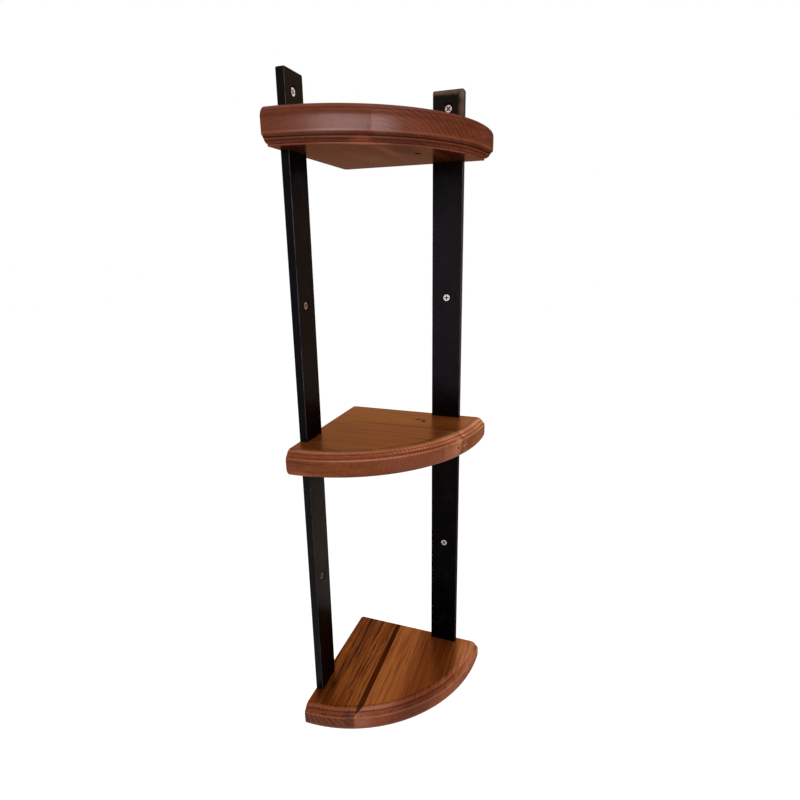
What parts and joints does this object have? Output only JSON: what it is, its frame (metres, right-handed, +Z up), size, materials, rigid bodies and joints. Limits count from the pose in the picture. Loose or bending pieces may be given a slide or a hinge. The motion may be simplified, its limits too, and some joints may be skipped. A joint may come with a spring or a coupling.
{
  "type": "corner shelf",
  "caption": "Wall-hung corner shelf: quarter-round hardwood shelves with moulded edges, notched over flat black steel bars that screw to the two walls of a corner.",
  "frame": {"origin": "on the line where the two walls meet, level with the underside of the bottom shelf", "axes": "+Z up, +X along the right-hand wall away from the corner, -Y along the left-hand wall away from the corner"},
  "size_m": [0.2025, 0.2025, 0.8015],
  "materials": {
    "top_shelf_left_wood": "satin oiled hardwood",
    "top_shelf_right_wood": "satin oiled hardwood",
    "middle_shelf_back_wood": "satin oiled hardwood",
    "middle_shelf_front_wood": "satin oiled hardwood",
    "bottom_shelf_left_wood": "satin oiled hardwood",
    "bottom_shelf_right_wood": "satin oiled hardwood",
    "dark_fill": "satin, near black brown",
    "black_bar": "satin black over mill scale",
    "zinc_screw": "zinc plated"
  },
  "bodies": {
    "root": {"top_shelf_left_board": "top_shelf_left_wood", "top_shelf_right_board": "top_shelf_right_wood", "middle_shelf_back_board": "middle_shelf_back_wood", "middle_shelf_front_board": "middle_shelf_front_wood", "bottom_shelf_left_board": "bottom_shelf_left_wood", "bottom_shelf_right_board": "bottom_shelf_right_wood", "bottom_shelf_dark_fill": "dark_fill", "left_bar": "black_bar", "right_bar": "black_bar", "left_wall_screw_top": "zinc_screw", "left_wall_screw_middle": "zinc_screw", "left_wall_screw_bottom": "zinc_screw", "right_wall_screw_top": "zinc_screw", "right_wall_screw_middle": "zinc_screw", "right_wall_screw_bottom": "zinc_screw", "top_shelf_left_inner_screw": "zinc_screw", "top_shelf_left_outer_screw": "zinc_screw", "top_shelf_right_inner_screw": "zinc_screw", "top_shelf_right_outer_screw": "zinc_screw", "middle_shelf_left_inner_screw": "zinc_screw", "middle_shelf_left_outer_screw": "zinc_screw", "middle_shelf_right_inner_screw": "zinc_screw", "middle_shelf_right_outer_screw": "zinc_screw", "bottom_shelf_left_inner_screw": "zinc_screw", "bottom_shelf_left_outer_screw": "zinc_screw", "bottom_shelf_right_inner_screw": "zinc_screw", "bottom_shelf_right_outer_screw": "zinc_screw"}
  },
  "joints": []
}
